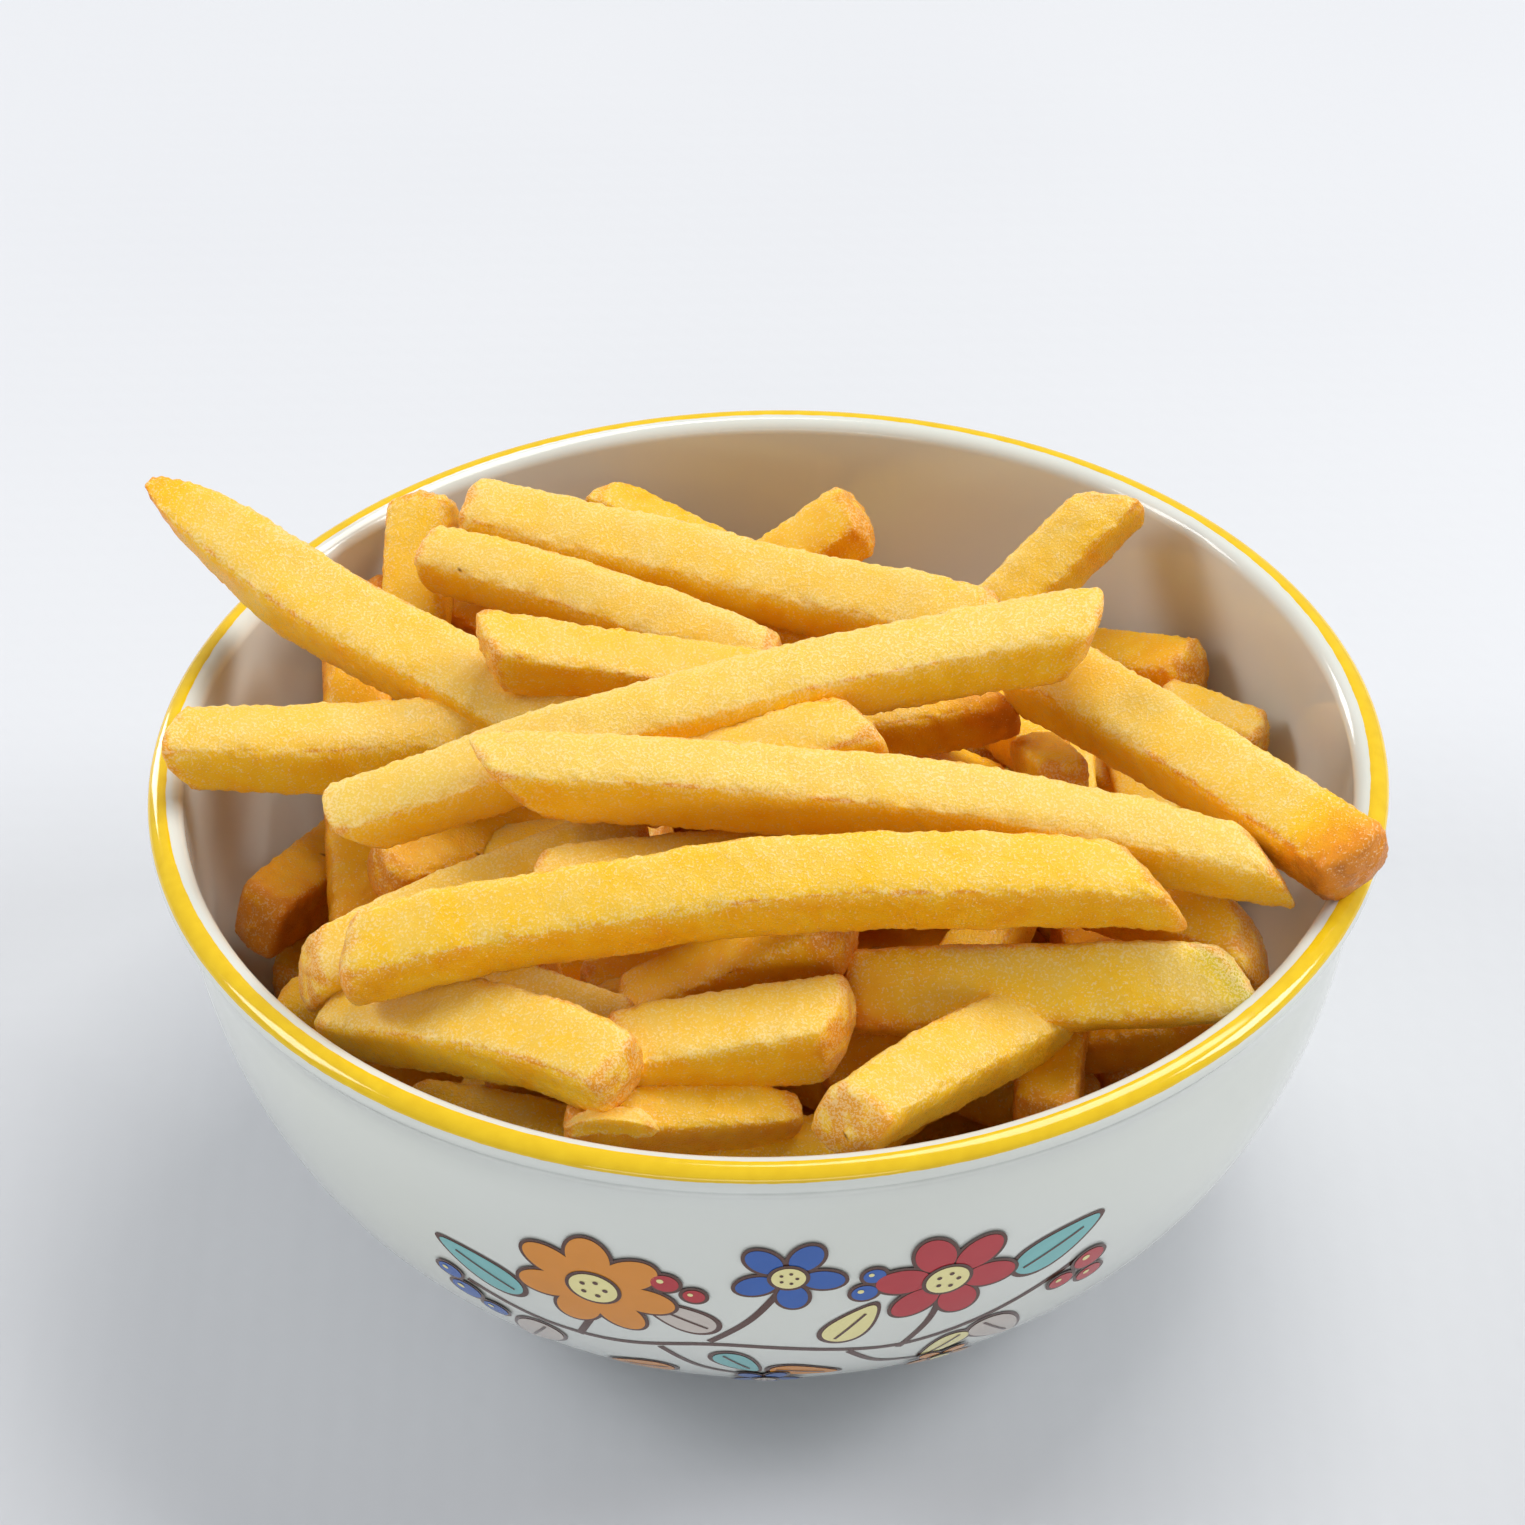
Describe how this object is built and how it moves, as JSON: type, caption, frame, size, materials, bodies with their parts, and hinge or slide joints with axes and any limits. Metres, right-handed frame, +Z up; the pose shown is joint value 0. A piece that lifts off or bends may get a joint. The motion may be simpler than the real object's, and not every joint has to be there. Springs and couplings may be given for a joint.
{
  "type": "french fries portion",
  "caption": "Heap of thick-cut french fries standing above the rim of a small round porcelain bowl with a rolled lip and a foot ring.",
  "frame": {"origin": "on the table under the middle of the bowl's foot ring", "axes": "+Z up out of the bowl, +X to the right and +Y away from the side that the heap is seen from"},
  "size_m": [0.1466, 0.145, 0.0871],
  "materials": {
    "porcelain": null,
    "fried_potato": "pale golden fried potato with a fine grainy crust, deeper orange at edges and cut ends"
  },
  "bodies": {
    "root": {"bowl": "porcelain", "fries": "fried_potato"}
  },
  "joints": []
}
